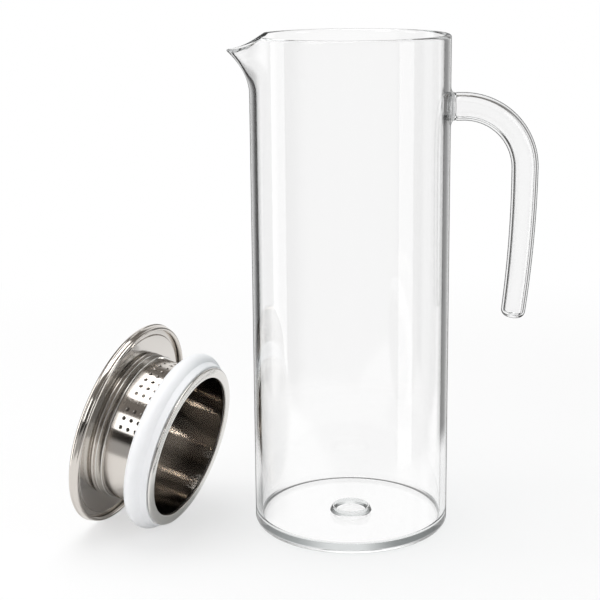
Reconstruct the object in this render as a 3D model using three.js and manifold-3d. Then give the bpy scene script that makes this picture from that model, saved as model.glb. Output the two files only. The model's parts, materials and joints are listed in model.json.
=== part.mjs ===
// A tall glass pitcher with a pulled spout and a hollow glass handle, beside its steel lid.
// The lid is lying on its side: a cap disc, a short neck, a crimped collar, a perforated tube and
// a soft seal that fills the bore of the glass. Millimetres, +Z up, origin in the middle of the
// flat underside. The spout points along -X and the handle along +X.

import * as THREE from 'three';
import { mergeVertices } from 'three/addons/utils/BufferGeometryUtils.js';
import Module from 'manifold-3d';

const wasm = await Module();
wasm.setup();

// Clearances: between pieces that are fused, welded or pushed together, past a cut's faces, and
// between points that are one point.
const seatGap = 0.3;
const cutOverrun = 1;
const weldDistance = 1e-4;

// Glass cylinder.
const bodyRadius = 50;
const bodyHeight = 252.5;
const wallThickness = 3.2;
const floorThickness = 4.4;
const heelRadius = 3.4;
const floorFilletRadius = 3;

// Seal ring left standing on the inside of the floor.
const floorRingRadius = 9.3;
const floorRingWidth = 3.2;
const floorRingHeight = 1.1;

// Spout, pulled out of the rim.
const spoutReach = 13.1;
const spoutDrop = 6.8;
const spoutDepth = 29;
const spoutHalfAngle = THREE.MathUtils.degToRad(30);
const spoutTipAngle = THREE.MathUtils.degToRad(1.6);
// Powers of the spout's shape: how fast it narrows in plan, and how softly the rim dips into it.
const spoutNarrowing = 2;
const spoutDip = 1.3;

// Hollow handle, and the gather of glass that joins it to the wall.
const handleDrop = 36.1;
const handleRadius = 7.1;
const handleEndRadius = 6.1;
const handleWall = 1.9;
const handleRun = 6;
const handleBendRadius = 31.5;
const handleBowRadius = 600;
const handleBowLength = 77;
const handleVentRadius = 2.4;
const footLength = 2.3;
const footFlare = 4;
const footEdge = 0.4;

// Lid: heights are counted from the open end of the tube.
const sealSqueeze = 0.2;
const sealThickness = 9;
const sealRollRadius = 4.9;
const sealRollMeet = THREE.MathUtils.degToRad(65);
const sealSleeveThickness = 5.2;
const sealSleeveLength = 3.1;
const sealSleeveRound = 0.9;
const tubeWall = 0.7;
const endRingThickness = 1.2;
const endRingWidth = 5.3;
const collarHeight = 29.7;
const collarLength = 4.2;
const collarWall = 0.6;
const collarBead = 0.35;
const hemRise = 4.9;
const hemBeadRadius = 1;
const hemTuck = 0.3;
const hemNotch = THREE.MathUtils.degToRad(20);
const capOverhang = 3.8;
const capSheet = 0.8;
const capBandLength = 1;
const capStep = 0.4;
const capShoulderRadius = 2;
const capDome = 0.5;
const plateSheet = 0.8;
const plateStep = 0.6;
const plateFlange = 3.6;
const neckFlange = 1.2;

// Strainer holes: straight rows along the tube, over part of its round.
const holeRadius = 1.05;
const holeRows = 3;
const holeRowPitch = 4.1;
const holeTopMargin = 5.1;
const holeColumns = 15;
const holeColumnAngle = THREE.MathUtils.degToRad(7.1);
const holeStartAngle = THREE.MathUtils.degToRad(-68);

// Where the lid lies: how far it keeps beside the spout, how far its open end is in front of the
// glass's axis, and the way that end looks.
const lidSpoutGap = 0.5;
const lidForward = 12;
const lidHeading = THREE.MathUtils.degToRad(23);

// Facets. Those of the glass crowd towards the spout, where the wall bends most.
const bodySides = 60;
const bodyCrowdShare = 0.5;
const handleSides = 16;
const lidSides = 48;
const holeSides = 8;
const edgeSteps = 2;
const arcSteps = 4;
const rimSteps = 6;
const rollSteps = 10;
const spoutSteps = 7;
const handleStep = 6.5;

const glass = { color: 0xf1f4f4, roughness: 0.03, metalness: 0, transparent: true, opacity: 0.35 };
const steel = { color: 0xb9b5b0, roughness: 0.28, metalness: 1 };
const brightSteel = { color: 0xd0cdc9, roughness: 0.16, metalness: 1 };
const satinSteel = { color: 0xc9c7c4, roughness: 0.42, metalness: 1 };
const silicone = { color: 0xf3f4f6, roughness: 0.55, metalness: 0 };

const quarter = Math.PI / 2;

// Points of an arc about (radius, height), from one angle to another.
function arc(radius, height, size, from, to, steps = arcSteps) {
  return Array.from({ length: steps + 1 }, (_, i) => {
    const angle = from + ((to - from) * i) / steps;
    return new THREE.Vector2(radius + size * Math.cos(angle), height + size * Math.sin(angle));
  });
}

const point = (radius, height) => new THREE.Vector2(radius, height);

// A closed surface with merged points, turned round if its faces look inwards.
function closed(source) {
  let geometry = source.clone();
  geometry.deleteAttribute('normal');
  geometry.deleteAttribute('uv');
  geometry = mergeVertices(geometry, weldDistance);
  const position = geometry.getAttribute('position');
  const index = Array.from(geometry.index.array);
  const [a, b, c] = [new THREE.Vector3(), new THREE.Vector3(), new THREE.Vector3()];
  let volume = 0;
  const kept = [];
  for (let i = 0; i < index.length; i += 3) {
    const [p, q, r] = index.slice(i, i + 3);
    if (p === q || q === r || r === p) continue;
    kept.push(p, q, r);
    a.fromBufferAttribute(position, p);
    b.fromBufferAttribute(position, q);
    c.fromBufferAttribute(position, r);
    volume += a.dot(b.cross(c));
  }
  if (volume < 0) kept.reverse();
  geometry.setIndex(kept);
  return geometry;
}

// A profile of (radius, height) turned about the Z axis.
function turned(profile, sides) {
  const geometry = new THREE.LatheGeometry(profile, sides);
  geometry.rotateX(quarter);
  return geometry;
}

// A profile that isn't on the axis is closed on itself.
const ring = (profile, sides) => closed(turned([...profile, profile[0].clone()], sides));
const disc = (profile, sides) => closed(turned(profile, sides));

// Moves every point of a geometry by a rule.
function reshape(geometry, rule) {
  const position = geometry.getAttribute('position');
  const p = new THREE.Vector3();
  for (let i = 0; i < position.count; i++) {
    p.fromBufferAttribute(position, i);
    rule(p);
    position.setXYZ(i, p.x, p.y, p.z);
  }
  return geometry;
}

function toManifold(geometry) {
  const vertProperties = new Float32Array(geometry.getAttribute('position').array);
  const triVerts = new Uint32Array(geometry.index.array);
  return new wasm.Manifold(new wasm.Mesh({ numProp: 3, vertProperties, triVerts }));
}

function fromManifold(solid) {
  const mesh = solid.getMesh();
  const geometry = new THREE.BufferGeometry();
  geometry.setAttribute('position', new THREE.BufferAttribute(new Float32Array(mesh.vertProperties), 3));
  geometry.setIndex(Array.from(mesh.triVerts));
  return geometry;
}

// Glass body

const boreRadius = bodyRadius - wallThickness;

// How far the spout pulls the wall out and down, from 0 to 1, at an angle from its middle line
// and a depth below the rim. It narrows to a lip in plan and fades into the wall below.
function spoutPull(angle, depth) {
  const tipShare = spoutTipAngle / spoutHalfAngle;
  const spread = Math.min(1, Math.hypot(angle / spoutHalfAngle, tipShare));
  const below = THREE.MathUtils.clamp(depth / spoutDepth, 0, 1);
  const out = (1 - spread) ** spoutNarrowing * (1 - below) ** spoutNarrowing;
  const down = Math.cos(spread * quarter) ** spoutDip * (1 - below);
  return { out, down };
}

function glassBody() {
  const rimRadius = wallThickness / 2;
  const rimHeight = bodyHeight - rimRadius;
  const wallLevels = Array.from({ length: spoutSteps }, (_, i) => {
    return rimHeight - spoutDepth * (1 - i / spoutSteps);
  });
  const floorRing = Array.from({ length: arcSteps + 1 }, (_, i) => {
    const across = i / arcSteps;
    const rise = floorRingHeight * Math.sin(across * Math.PI) ** 2;
    return point(floorRingRadius + floorRingWidth * (0.5 - across), floorThickness + rise);
  });
  const filletHeight = floorThickness + floorFilletRadius;
  const profile = [
    point(0, 0),
    ...arc(bodyRadius - heelRadius, heelRadius, heelRadius, -quarter, 0),
    ...wallLevels.map((height) => point(bodyRadius, height)),
    ...arc(bodyRadius - rimRadius, rimHeight, rimRadius, 0, Math.PI, rimSteps),
    ...wallLevels.map((height) => point(boreRadius, height)).reverse(),
    ...arc(boreRadius - floorFilletRadius, filletHeight, floorFilletRadius, 0, -quarter),
    ...floorRing,
    point(0, floorThickness),
  ];
  const geometry = reshape(turned(profile, bodySides), (p) => {
    const even = Math.atan2(p.y, -p.x);
    const angle = even - bodyCrowdShare * Math.sin(even);
    const { out, down } = spoutPull(angle, bodyHeight - p.z);
    const radius = Math.hypot(p.x, p.y) + spoutReach * out;
    p.x = -radius * Math.cos(angle);
    p.y = radius * Math.sin(angle);
    p.z -= spoutDrop * down;
  });
  return closed(geometry);
}

// Handle

const handleHeight = bodyHeight - handleDrop;

// The gather: a short flared foot that follows the round of the wall.
function handleFoot() {
  const flareStart = seatGap + footEdge;
  const flare = Array.from({ length: rimSteps }, (_, i) => {
    const angle = (quarter * i) / (rimSteps - 1);
    const reach = flareStart + (footLength - flareStart) * (1 - Math.sin(angle));
    return point(handleRadius + footFlare * (1 - Math.cos(angle)), reach);
  });
  const profile = [
    point(0, footLength),
    ...flare,
    point(handleRadius + footFlare, seatGap),
    point(handleRadius, seatGap),
    point(0, seatGap),
  ];
  const geometry = turned(profile, handleSides);
  geometry.rotateY(quarter);
  reshape(geometry, (p) => {
    const inset = bodyRadius - Math.sqrt(bodyRadius ** 2 - p.y ** 2);
    const followShare = THREE.MathUtils.clamp((footLength - p.x) / (footLength - seatGap), 0, 1);
    p.x += bodyRadius - inset * followShare;
    p.z += handleHeight;
  });
  return closed(geometry);
}

// Middle line of the handle in the XZ plane: straight out, round the bend, and a long bow down.
const bendLength = handleBendRadius * quarter;
const handleStartX = bodyRadius + footLength + seatGap;
const handleLength = handleRun + bendLength + handleBowLength;

function handlePlace(along) {
  const place = { x: handleStartX + Math.min(along, handleRun), z: handleHeight, turn: 0 };
  if (along > handleRun) {
    place.turn = Math.min((along - handleRun) / handleBendRadius, quarter);
    place.x += handleBendRadius * Math.sin(place.turn);
    place.z -= handleBendRadius * (1 - Math.cos(place.turn));
  }
  if (along > handleRun + bendLength) {
    const bow = (along - handleRun - bendLength) / handleBowRadius;
    place.x -= handleBowRadius * (1 - Math.cos(bow));
    place.z -= handleBowRadius * Math.sin(bow);
    place.turn += bow;
  }
  return place;
}

// Drawn as a straight tapered tube with a rounded, vented end, then bent along its middle line.
function handleTube() {
  const taper = (along) => handleRadius + ((handleEndRadius - handleRadius) * along) / handleLength;
  const nose = handleEndRadius - handleVentRadius;
  const steps = Math.round(handleLength / handleStep);
  const rings = Array.from({ length: steps + 1 }, (_, i) => ((handleLength - nose) * i) / steps);
  const noseArc = (size) => arc(handleVentRadius, handleLength - nose, size, 0, quarter);
  const outer = rings.map((along) => point(taper(along), along));
  const inner = rings.map((along) => point(taper(along) - handleWall, along)).reverse();
  const profile = [
    ...outer.slice(0, -1),
    ...noseArc(nose),
    ...noseArc(nose - handleWall).reverse(),
    ...inner.slice(1),
    outer[0].clone(),
  ];
  const geometry = turned(profile, handleSides);
  reshape(geometry, (p) => {
    const place = handlePlace(p.z);
    const outward = p.x;
    p.x = place.x + outward * Math.sin(place.turn);
    p.z = place.z + outward * Math.cos(place.turn);
  });
  return closed(geometry);
}

// Lid: from the bore of the glass inwards to the seal and the tube, and outwards to the cap.

const sealRadius = boreRadius + sealSqueeze;
const sealInnerRadius = sealRadius - sealThickness;
const sealRollCentre = sealRadius - sealRollRadius;
const tubeRadius = sealInnerRadius - seatGap;
const tubeBoreRadius = tubeRadius - tubeWall;
const tubeStart = endRingThickness + seatGap;
const tubeJoint = collarHeight + collarLength / 2;
const sleeveEnd = tubeStart + sealSleeveLength;
const sealRollHeight = sleeveEnd + sealRollRadius * Math.sin(sealRollMeet);
const hemHeight = collarHeight + hemRise;
const hemBeadHeight = hemHeight + hemBeadRadius;
const hemTop = hemBeadHeight + hemBeadRadius;
const capRadius = bodyRadius + capOverhang;
const bandRadius = capRadius - capStep;
const hemBeadCentre = bandRadius - hemTuck - hemBeadRadius;
const bandTop = hemTop + capBandLength;
const shoulderHeight = bandTop + capStep;
const shoulderCentre = capRadius - capShoulderRadius;
const plateHeight = hemTop + seatGap;
const plateFace = plateHeight - plateStep;

function endRing() {
  const lip = endRingThickness / 2;
  const outerRadius = tubeBoreRadius + endRingWidth;
  return ring([
    ...arc(outerRadius - lip, lip, lip, -quarter, quarter),
    ...arc(tubeBoreRadius + lip, lip, lip, quarter, 3 * quarter, edgeSteps),
  ], lidSides);
}

// Soft seal: a fat roll that fills the bore, with a narrower sleeve behind the end ring.
function sealRing() {
  const sleeveEdge = sealInnerRadius + sealSleeveThickness - sealSleeveRound;
  return ring([
    point(sealInnerRadius, tubeStart),
    ...arc(sleeveEdge, tubeStart + sealSleeveRound, sealSleeveRound, -quarter, 0, edgeSteps),
    ...arc(sealRollCentre, sealRollHeight, sealRollRadius, -sealRollMeet, quarter, rollSteps),
    point(sealInnerRadius, sealRollHeight + sealRollRadius),
  ], lidSides);
}

function strainerTube() {
  const tube = ring([
    point(tubeBoreRadius, tubeStart),
    point(tubeRadius, tubeStart),
    point(tubeRadius, tubeJoint - seatGap / 2),
    point(tubeBoreRadius, tubeJoint - seatGap / 2),
  ], lidSides);
  const holeLength = tubeWall + 2 * cutOverrun;
  let solid = toManifold(tube);
  for (let column = 0; column < holeColumns; column++) {
    for (let row = 0; row < holeRows; row++) {
      const hole = new THREE.CylinderGeometry(holeRadius, holeRadius, holeLength, holeSides);
      hole.rotateZ(quarter);
      hole.translate(tubeRadius - tubeWall / 2, 0, collarHeight - holeTopMargin - row * holeRowPitch);
      hole.rotateZ(holeStartAngle + column * holeColumnAngle);
      solid = solid.subtract(toManifold(closed(hole)));
    }
  }
  return fromManifold(solid);
}

// Crimped band over the joint of the tube and the neck, with a bead round each edge.
function crimpCollar() {
  const innerRadius = tubeRadius + seatGap;
  const outerRadius = innerRadius + collarWall;
  const top = collarHeight + collarLength;
  return ring([
    point(innerRadius, collarHeight),
    ...arc(outerRadius, collarHeight + collarBead, collarBead, -quarter, quarter, edgeSteps),
    ...arc(outerRadius, top - collarBead, collarBead, -quarter, quarter, edgeSteps),
    point(innerRadius, top),
  ], lidSides);
}

// Short neck with a turned flange that is welded under the plate.
function neckSocket() {
  const top = plateFace - seatGap;
  return ring([
    point(tubeBoreRadius, tubeJoint + seatGap / 2),
    point(tubeRadius, tubeJoint + seatGap / 2),
    ...arc(tubeRadius + neckFlange, top - neckFlange, neckFlange, Math.PI, quarter, edgeSteps),
    point(tubeBoreRadius, top),
  ], lidSides);
}

// Outline of the cap's outside from the top's middle down to the hem, and the same less the
// sheet: a low dome, a round shoulder, a small step in and a short band.
function capOutline(sheet) {
  const size = capShoulderRadius - sheet;
  return [
    point(0, shoulderHeight + size + capDome),
    ...arc(shoulderCentre, shoulderHeight, size, quarter, 0),
    point(bandRadius - sheet, bandTop),
    point(bandRadius - sheet, hemTop),
  ];
}

// The sheet's edge is rolled inwards to a bead, tucked in a little behind the band.
function capShell() {
  const profile = [
    ...capOutline(0),
    ...arc(hemBeadCentre, hemBeadHeight, hemBeadRadius, hemNotch, -3 * quarter, rimSteps),
    ...capOutline(capSheet).reverse(),
  ];
  return disc(profile, lidSides);
}

// Pale plate that closes the underside of the cap. Its flange lies on the hem's bead, and its
// middle is pressed out by a small step.
function capUnderplate() {
  const edge = bandRadius - capSheet - seatGap;
  const stepRadius = edge - plateFlange;
  return disc([
    point(0, plateFace),
    point(stepRadius - plateStep, plateFace),
    point(stepRadius, plateHeight),
    point(edge, plateHeight),
    point(edge, plateHeight + plateSheet),
    point(stepRadius, plateHeight + plateSheet),
    point(stepRadius - plateStep, plateFace + plateSheet),
    point(0, plateFace + plateSheet),
  ], lidSides);
}

// Scene graph

function part(name, geometry, look) {
  const mesh = new THREE.Mesh(geometry, new THREE.MeshStandardMaterial(look));
  mesh.name = name;
  return mesh;
}

const pitcher = new THREE.Group();
pitcher.add(
  part('glass_body', glassBody(), glass),
  part('handle_foot', handleFoot(), glass),
  part('handle_tube', handleTube(), glass),
);

// The lid is modelled upright, tipped until the cap's shoulder and the seal's roll both touch the
// floor, and turned to its heading.
const capAbove = shoulderHeight - sealRollHeight;
const capBeyond = shoulderCentre - sealRollCentre;
const capSlope = Math.atan2(capBeyond, capAbove);
const rollSlope = Math.asin((sealRollRadius - capShoulderRadius) / Math.hypot(capAbove, capBeyond));
const lidDip = capSlope - rollSlope;
const shoulderFall = shoulderCentre * Math.cos(lidDip) - shoulderHeight * Math.sin(lidDip);
const lidRise = shoulderFall + capShoulderRadius;

// Its open end leans towards the spout by the part of its radius that the dip and heading show.
const lidFacing = Math.cos(lidDip) * Math.cos(lidHeading);
const lidLean = (tubeBoreRadius + endRingWidth) * Math.sqrt(1 - lidFacing ** 2);
const lidBeside = bodyRadius + spoutReach + lidSpoutGap + lidLean;

const lid = new THREE.Group();
lid.add(
  part('end_ring', endRing(), brightSteel),
  part('seal_ring', sealRing(), silicone),
  part('strainer_tube', strainerTube(), steel),
  part('crimp_collar', crimpCollar(), brightSteel),
  part('neck_socket', neckSocket(), steel),
  part('cap_underplate', capUnderplate(), satinSteel),
  part('cap_shell', capShell(), steel),
);
lid.rotation.y = lidDip - quarter;

const lidPlace = new THREE.Group();
lidPlace.position.set(-lidBeside, -lidForward, lidRise);
lidPlace.rotation.z = -lidHeading;
lidPlace.add(lid);

const group = new THREE.Group();
group.add(pitcher, lidPlace);

export default group;
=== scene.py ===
# %% [markdown]
# # A glass pitcher and its steel strainer lid
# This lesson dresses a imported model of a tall, blown glass pitcher and the pressed steel lid that
# lies beside it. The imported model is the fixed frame: it says where every piece is and how it
# moves. Each piece is made again here as a fine mesh in the same place, with a finish of its own.
# We start by loading the frame and keeping its box, because the fine pieces must stay inside it.

import json
import math
from functools import partial

import bpy
from mathutils import Matrix, Vector

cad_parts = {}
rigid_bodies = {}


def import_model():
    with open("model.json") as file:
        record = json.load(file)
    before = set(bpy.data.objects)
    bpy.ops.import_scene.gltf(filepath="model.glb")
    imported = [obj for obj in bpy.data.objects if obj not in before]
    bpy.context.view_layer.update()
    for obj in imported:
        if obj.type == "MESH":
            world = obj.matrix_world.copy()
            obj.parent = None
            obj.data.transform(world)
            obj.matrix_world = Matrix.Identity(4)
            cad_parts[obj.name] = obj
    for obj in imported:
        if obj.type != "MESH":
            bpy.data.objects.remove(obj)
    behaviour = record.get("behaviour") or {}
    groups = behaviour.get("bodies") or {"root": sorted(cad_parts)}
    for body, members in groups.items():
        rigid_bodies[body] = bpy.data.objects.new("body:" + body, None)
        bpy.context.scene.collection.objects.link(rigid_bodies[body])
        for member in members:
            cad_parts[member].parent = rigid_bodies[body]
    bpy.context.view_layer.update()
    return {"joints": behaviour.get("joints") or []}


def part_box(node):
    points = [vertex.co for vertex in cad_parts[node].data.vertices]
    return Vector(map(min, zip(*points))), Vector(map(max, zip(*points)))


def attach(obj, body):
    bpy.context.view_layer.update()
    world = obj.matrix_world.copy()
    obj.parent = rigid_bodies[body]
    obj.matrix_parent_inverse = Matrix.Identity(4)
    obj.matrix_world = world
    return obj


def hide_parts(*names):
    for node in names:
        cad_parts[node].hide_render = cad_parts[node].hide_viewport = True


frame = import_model()

# %% [markdown]
# ## Sizes
# Sizes are written in millimetres and multiplied by `MM` once. The glass takes its radius and
# height from the frame's own box for the body, so it can't drift away from the construction.

# %% Units and the sizes that come from the frame
MM = 0.001
QUARTER = math.pi / 2

_, body_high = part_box("glass_body")
BODY_RADIUS = body_high.x
BODY_HEIGHT = body_high.z
print("glass:", round(BODY_RADIUS / MM, 2), "mm radius,", round(BODY_HEIGHT / MM, 2), "mm high")

# %% [markdown]
# ## Camera
# The photographer stood close and a little above the rim: the rim is seen almost edge on and the
# floor of the glass quite openly. That fixes the distance and the height. A small part of the
# framing is done with lens shift, as with a view camera, which keeps the sides nearly upright.

# %% Camera
CAMERA_PLACE = Vector((-25.47, -707.9, 296.9)) * MM
CAMERA_PITCH = math.radians(11.78)
CAMERA_ROLL = math.radians(-0.54)
CAMERA_FOCUS_PIXELS = 1426.4
PICTURE_PIXELS = 600
CAMERA_SHIFT = -0.1

camera_data = bpy.data.cameras.new("camera")
camera_data.sensor_width = 36
camera_data.lens = camera_data.sensor_width * CAMERA_FOCUS_PIXELS / PICTURE_PIXELS
camera_data.shift_y = CAMERA_SHIFT
camera = bpy.data.objects.new("camera", camera_data)
bpy.context.scene.collection.objects.link(camera)
camera.matrix_world = (
    Matrix.Translation(CAMERA_PLACE)
    @ Matrix.Rotation(QUARTER - CAMERA_PITCH, 4, "X")
    @ Matrix.Rotation(CAMERA_ROLL, 4, "Z")
)
bpy.context.scene.camera = camera
bpy.context.scene.view_settings.view_transform = "Standard"
print("lens:", round(camera_data.lens, 1), "mm")

# %% [markdown]
# ## Small helpers for materials
# Every finish is a small graph of nodes. One function adds a node with its settings and links, so
# a graph reads as a list of steps, and one turns a hex colour, as a designer writes it, into the
# linear values that the shader needs. A finish is written with `add`, which is `add_node` with
# the finish's own tree filled in.

# %% Material helpers
MATH = "ShaderNodeMath"
VECTOR_MATH = "ShaderNodeVectorMath"
MAP_RANGE = "ShaderNodeMapRange"
SOFT_STEP = {"interpolation_type": "SMOOTHSTEP"}
MIX_SHADER = "ShaderNodeMixShader"
MIX = "ShaderNodeMix"
COLOURS = {"data_type": "RGBA"}


def linear(hex_colour):
    """An sRGB hex colour as linear red, green, blue and alpha."""
    values = [int(hex_colour[i:i + 2], 16) / 255 for i in (1, 3, 5)]
    return [v / 12.92 if v <= 0.04045 else ((v + 0.055) / 1.055) ** 2.4 for v in values] + [1.0]


def add_node(tree, kind, settings=None, *values, **inputs):
    """Adds a node. Settings are its properties, or only the name of its operation.

    Values go into its first inputs, in order, and inputs into those that they name, or number as
    _6. Each is a plain value, a socket to link from, or a node, whose first output in use it is."""
    node = tree.nodes.new(kind)
    if isinstance(settings, str):
        settings = {"operation": settings}
    for name, value in (settings or {}).items():
        setattr(node, name, value)
    named = [(int(n[1:]) if n[1:].isdigit() else n.replace("_", " "), v) for n, v in inputs.items()]
    for key, value in [*enumerate(values), *named]:
        if isinstance(value, bpy.types.Node):
            value = next(output for output in value.outputs if output.enabled)
        if isinstance(value, bpy.types.NodeSocket):
            tree.links.new(value, node.inputs[key])
        else:
            node.inputs[key].default_value = value
    return node


def new_material(name):
    """An empty node material, and add_node for its tree."""
    material = bpy.data.materials.new(name)
    material.use_nodes = True
    material.node_tree.nodes.clear()
    return material, partial(add_node, material.node_tree)


WHITE = linear("#ffffff")
print("material helpers ready")

# %% [markdown]
# ## Studio
# Clear glass and polished steel show nothing but their surroundings, so the studio is half of
# their look. The object stands on a small white table in front of a wide white backdrop. What the
# camera sees directly, or straight through the glass, is white. Rays that were mirrored on steel
# or inside a glass wall see the room as it is: the table near the object, the backdrop behind it,
# and darkness past the table's edge and at the sides. That draws the dark lines on the glass and
# the dark bands on the steel. So a material first has to know what kind of ray has met it.

# %% Kinds of rays
def ray_kinds(add):
    """Four shares, 0 or 1: rays straight from the camera or straight through glass, those through
    glass alone, rays that light matt surfaces, and mirrored rays."""
    path = add("ShaderNodeLightPath").outputs
    mirrors = add(MATH, "GREATER_THAN", path["Glossy Depth"], 0.5)
    unmirrored = add(MATH, "SUBTRACT", 1.0, mirrors)
    through = add(MATH, "MULTIPLY", path["Is Transmission Ray"], unmirrored)
    straight = add(MATH, "MAXIMUM", path["Is Camera Ray"], through)
    late = add(MATH, "MULTIPLY", path["Is Transmission Ray"], mirrors)
    mirrored = add(MATH, "MAXIMUM", path["Is Glossy Ray"], late)
    return straight, through, path["Is Diffuse Ray"], mirrored


print("kinds of rays ready")

# %% [markdown]
# ## The floor
# The white table is drawn on the floor. Its outline is three round spots that run together, under
# the lid, under the glass and behind it, because those are the places that the steel and the
# glass mirror. Past its edge the floor lets mirrored rays through, into the dark room. In a round
# spot under the lid, mirrored rays see the paint with its shadow but without the glow: cutting
# the glow out there is painted shade under the lid. Under the rounded heel of the glass a dark ring
# is painted, seen only through the glass: a painted shadow that draws the thin line round its
# floor. Far from the object the floor fades into the backdrop.

# %% Floor
FLOOR_DROP = 0.15 * MM
FLOOR_HALF = 30.0
FLOOR_PAINT = "#f2f2f2"
GLOW_NEAR_SHARE = 0.6
FADE_START, FADE_END = 0.2, 0.6
# Each spot of the table: its middle, and how much smaller it is than the largest.
TABLE_SPOTS = [((-0.12, -0.03, 0), 0.0), ((0.02, 0.0, 0), 0.0), ((0.02, 0.14, 0), 0.065)]
TABLE_EDGE, TABLE_OUT = 0.115, 0.17
# A round spot under the lid where mirrored rays see no glow: painted shade under the lid.
PAINTED_SHADE_SPOT = (-0.105, 0.0, 0)
PAINTED_SHADE_EDGE = 0.035, 0.06
# A dark ring painted on the floor under the glass's heel: a painted shadow, seen only through glass.
HEEL_SHADOW_INNER = BODY_RADIUS - 2.5 * MM, BODY_RADIUS - 0.5 * MM
HEEL_SHADOW_OUTER = BODY_RADIUS + 0.4 * MM, BODY_RADIUS + 2.4 * MM
HEEL_SHADOW_DEPTH = 0.85
HEEL_SHADOW_PAINT = "#202020"


def past_table(add, where):
    """0 on the table and 1 past its soft edge."""
    off_table = FLOOR_HALF
    for spot, smaller in TABLE_SPOTS:
        distance = add(VECTOR_MATH, "DISTANCE", where, spot)
        away = add(MATH, "ADD", distance, smaller)
        off_table = add(MATH, "MINIMUM", off_table, away)
    return add(MAP_RANGE, SOFT_STEP, off_table, TABLE_EDGE, TABLE_OUT)


def painted_heel_shadow(add, out, through):
    """How dark the painted shadow makes the floor under the heel, for rays that come through glass."""
    start = add(MAP_RANGE, SOFT_STEP, out, *HEEL_SHADOW_INNER)
    end = add(MAP_RANGE, SOFT_STEP, out, *HEEL_SHADOW_OUTER)
    ring = add(MATH, "SUBTRACT", start, end)
    seen = add(MATH, "MULTIPLY", ring, through)
    return add(MATH, "MULTIPLY", seen, HEEL_SHADOW_DEPTH)


def floor_material():
    material, add = new_material("white table top, matt laminate")
    straight, through, _, mirrored = ray_kinds(add)
    where = add("ShaderNodeTexCoord").outputs["Object"]
    out = add(VECTOR_MATH, "DISTANCE", where, (0, 0, 0))
    near = add(MAP_RANGE, SOFT_STEP, out, FADE_START, FADE_END, GLOW_NEAR_SHARE, 1.0)
    # Mirrored rays lose the glow near the lid: painted shade under the lid.
    from_painted_shade = add(VECTOR_MATH, "DISTANCE", where, PAINTED_SHADE_SPOT)
    outside_painted_shade = add(MAP_RANGE, SOFT_STEP, from_painted_shade, *PAINTED_SHADE_EDGE)
    reflected = add(MATH, "MULTIPLY", mirrored, outside_painted_shade)
    seen = add(MATH, "ADD", straight, reflected)
    share = add(MATH, "MULTIPLY", seen, near)
    paint = add("ShaderNodeBsdfDiffuse", Color=linear(FLOOR_PAINT))
    glow = add("ShaderNodeEmission", Color=WHITE, Strength=1.0)
    lit = add(MIX_SHADER, None, share, paint, glow)
    # The dark matt paint here is the painted shadow under the heel.
    shade = add("ShaderNodeBsdfDiffuse", Color=linear(HEEL_SHADOW_PAINT))
    with_painted_shadow = add(MIX_SHADER, None, painted_heel_shadow(add, out, through), lit, shade)
    beyond = add(MATH, "MULTIPLY", mirrored, past_table(add, where))
    nothing = add("ShaderNodeBsdfTransparent", Color=WHITE)
    ended = add(MIX_SHADER, None, beyond, with_painted_shadow, nothing)
    add("ShaderNodeOutputMaterial", Surface=ended)
    return material


def make_floor():
    half = FLOOR_HALF
    mesh = bpy.data.meshes.new("floor")
    corners = [(-half, -half), (half, -half), (half, half), (-half, half)]
    mesh.from_pydata([(x, y, -FLOOR_DROP) for x, y in corners], [], [(0, 1, 2, 3)])
    floor = bpy.data.objects.new("floor", mesh)
    bpy.context.scene.collection.objects.link(floor)
    mesh.materials.append(floor_material())


make_floor()
print("floor made, with a table of", len(TABLE_SPOTS), "spots,", TABLE_EDGE, "m in radius")

# %% [markdown]
# ## The room
# The world stands for the room. It lights matt surfaces evenly from all sides, as white walls out
# of sight do. Mirrored rays see a panorama instead. Going round from straight behind the object
# there is the white backdrop, which fades out before 36 degrees, a dark gap, a white card from
# about 50 to 70 degrees, and then the dark room, with a dim apron low in front. On the right a
# faint wall fills the gap. Overhead the ceiling is a little paler than the room. The gap is what
# draws the thin dark line just inside each edge of the glass, where light is turned by just that
# angle, and the card keeps the glass beside that line clear.

# %% What mirrored rays see of the room
def turns(*degrees):
    """Angles in radians."""
    return [math.radians(d) for d in degrees]


def rises(*degrees):
    """How far up a direction points at these angles, from 0 when level to 1 straight up."""
    return [math.sin(math.radians(d)) for d in degrees]


BACKDROP_TURN = math.radians(2)
BACKDROP_SIDE = turns(36, 13)
CARD_NEAR, CARD_FAR = turns(47, 54), turns(78, 66)
APRON_SIDE, APRON_TOP = turns(112, 124), rises(4, -4)
APRON_SEEN = 0.42
RIGHT_WALL = turns(4, 14)
RIGHT_WALL_SEEN = 0.2
PANORAMA_TOP, PANORAMA_FOOT = rises(42, 30), rises(-42, -32)


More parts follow.
